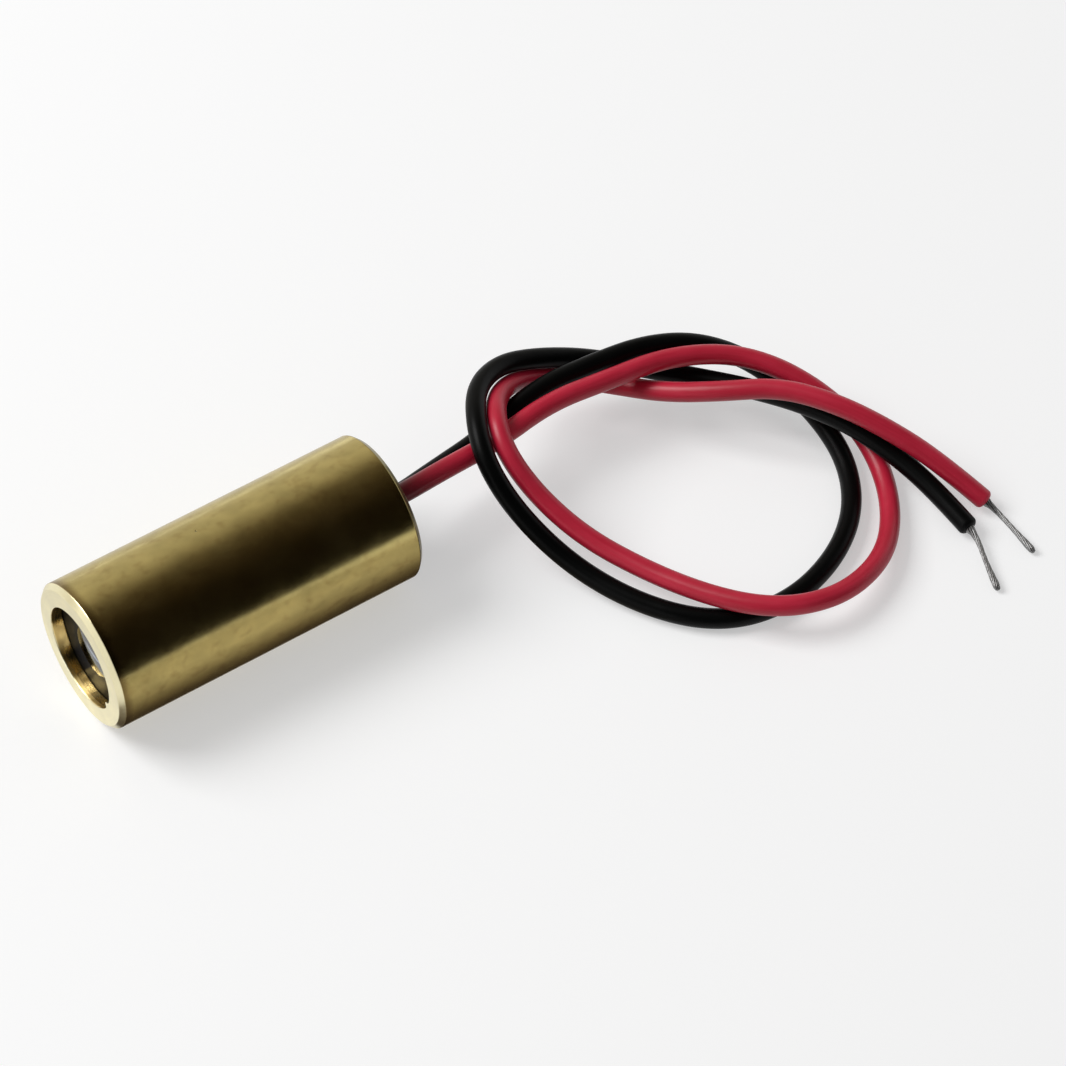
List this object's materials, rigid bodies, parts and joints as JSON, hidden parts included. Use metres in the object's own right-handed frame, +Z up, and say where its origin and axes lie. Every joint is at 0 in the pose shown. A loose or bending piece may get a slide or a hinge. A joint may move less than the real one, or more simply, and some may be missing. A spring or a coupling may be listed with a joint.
{
  "type": "laser diode module",
  "caption": "Cylindrical laser diode module: a brass barrel with a lens set back in its front aperture, a potted driver inside and a pair of leads tied in a loose knot at the rear.",
  "frame": {"origin": "on the optical axis, half way along the barrel", "axes": "+Y along the optical axis from the aperture to the leads, so the beam leaves along -Y; +Z up from the surface that the module lies on"},
  "size_m": [0.0279, 0.0514, 0.009],
  "materials": {
    "barrel_brass": "satin",
    "lens_acrylic": "polished",
    "black_moulding": "matte",
    "holder_brass": "satin",
    "gilt_steel": "satin",
    "cap_steel": "satin",
    "window_glass": "polished",
    "submount_ceramic": "matte",
    "chip_grey": "satin",
    "board_green": "satin",
    "pad_copper": "satin",
    "tinned_metal": "satin",
    "resistor_ceramic": "satin",
    "capacitor_ceramic": "satin",
    "potting_resin": "gloss",
    "red_insulation": "satin",
    "black_insulation": "satin"
  },
  "bodies": {
    "root": {"barrel": "barrel_brass", "collimating_lens": "lens_acrylic", "lens_spacer": "black_moulding", "diode_holder": "holder_brass", "diode_header": "gilt_steel", "diode_cap": "cap_steel", "diode_window": "window_glass", "laser_submount": "submount_ceramic", "laser_chip": "chip_grey", "monitor_photodiode": "chip_grey", "laser_pin": "gilt_steel", "monitor_pin": "gilt_steel", "common_pin": "gilt_steel", "pin_seals": "window_glass", "driver_board": "board_green", "copper_pads": "pad_copper", "drive_transistor": "black_moulding", "control_transistor": "black_moulding", "transistor_legs": "tinned_metal", "chip_resistors": "resistor_ceramic", "filter_capacitor": "capacitor_ceramic", "chip_terminals": "tinned_metal", "solder_joints": "tinned_metal", "red_core": "tinned_metal", "black_core": "tinned_metal", "rear_potting": "potting_resin", "red_lead": "red_insulation", "black_lead": "black_insulation", "red_tip": "tinned_metal", "black_tip": "tinned_metal"}
  },
  "joints": []
}
